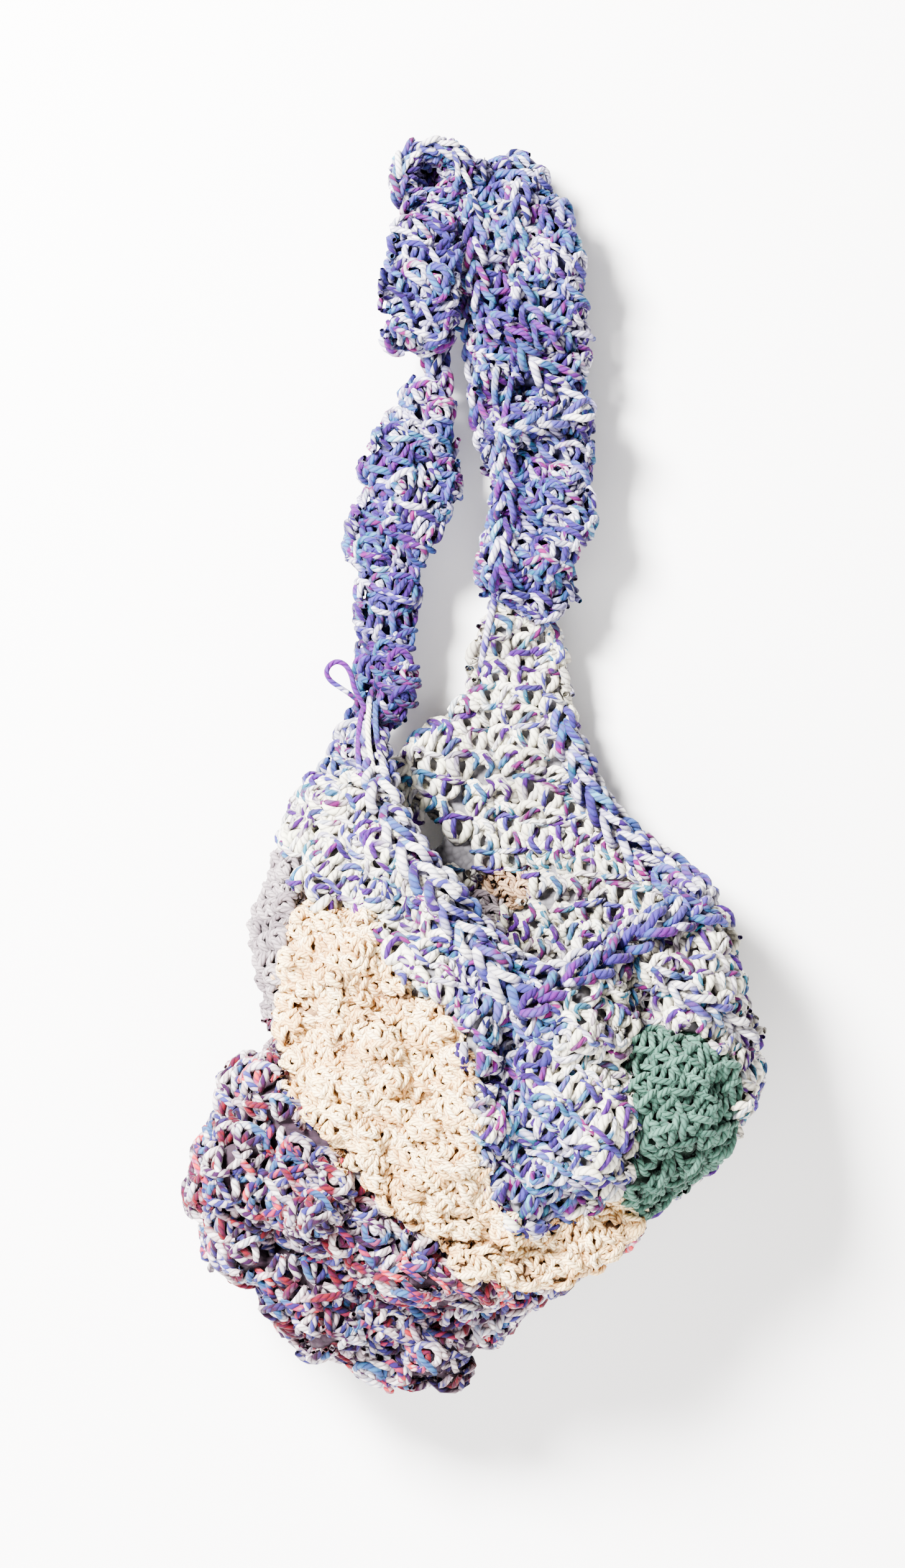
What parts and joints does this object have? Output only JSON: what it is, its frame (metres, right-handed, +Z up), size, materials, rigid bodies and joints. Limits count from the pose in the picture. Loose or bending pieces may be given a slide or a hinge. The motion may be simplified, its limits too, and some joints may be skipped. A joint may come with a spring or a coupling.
{
  "type": "crochet shoulder bag",
  "caption": "Freeform crochet shoulder bag: a soft hollow pouch of joined yarn patches with a slanted open mouth, hanging from one long wide folded and twisted band.",
  "frame": {"origin": "the point at the top of the band where a pin carries it", "axes": "+Z up, the front of the bag faces -Y, +X to the right as seen from the front"},
  "size_m": [0.3195, 0.1379, 0.7187],
  "materials": {
    "ivory_yarn": "thick soft ivory wool held with a thin space-dyed violet, blue and magenta strand",
    "edging_yarn": "space-dyed violet and sky blue yarn with ivory, in a chain",
    "cream_cotton": "knobbly matt cream cotton",
    "lavender_grey_yarn": "pale lavender grey yarn, matt",
    "tan_yarn": "pale tan yarn, matt",
    "sage_yarn": "sage green plied yarn with a soft sheen",
    "plum_coral_yarn": "space-dyed plum, white, coral and sky blue plied yarn",
    "violet_yarn": "space-dyed periwinkle, violet, turquoise, magenta and white plied yarn"
  },
  "bodies": {
    "root": {"back_panel": "ivory_yarn", "front_band": "ivory_yarn", "side_panel": "ivory_yarn", "neck_gather": "edging_yarn", "rim_edging": "edging_yarn", "natural_patch": "cream_cotton", "natural_cuff": "cream_cotton", "grey_patch": "lavender_grey_yarn", "grey_inset": "lavender_grey_yarn", "tan_inset": "tan_yarn", "sage_patch": "sage_yarn", "base_pouch": "plum_coral_yarn", "left_strap": "violet_yarn", "twisted_stretch": "violet_yarn", "strap_fold": "violet_yarn", "strap_cup": "violet_yarn", "strap_saddle": "violet_yarn", "right_strap_upper": "violet_yarn", "right_strap_lower": "violet_yarn", "strap_edge_roll": "violet_yarn"}
  },
  "joints": []
}
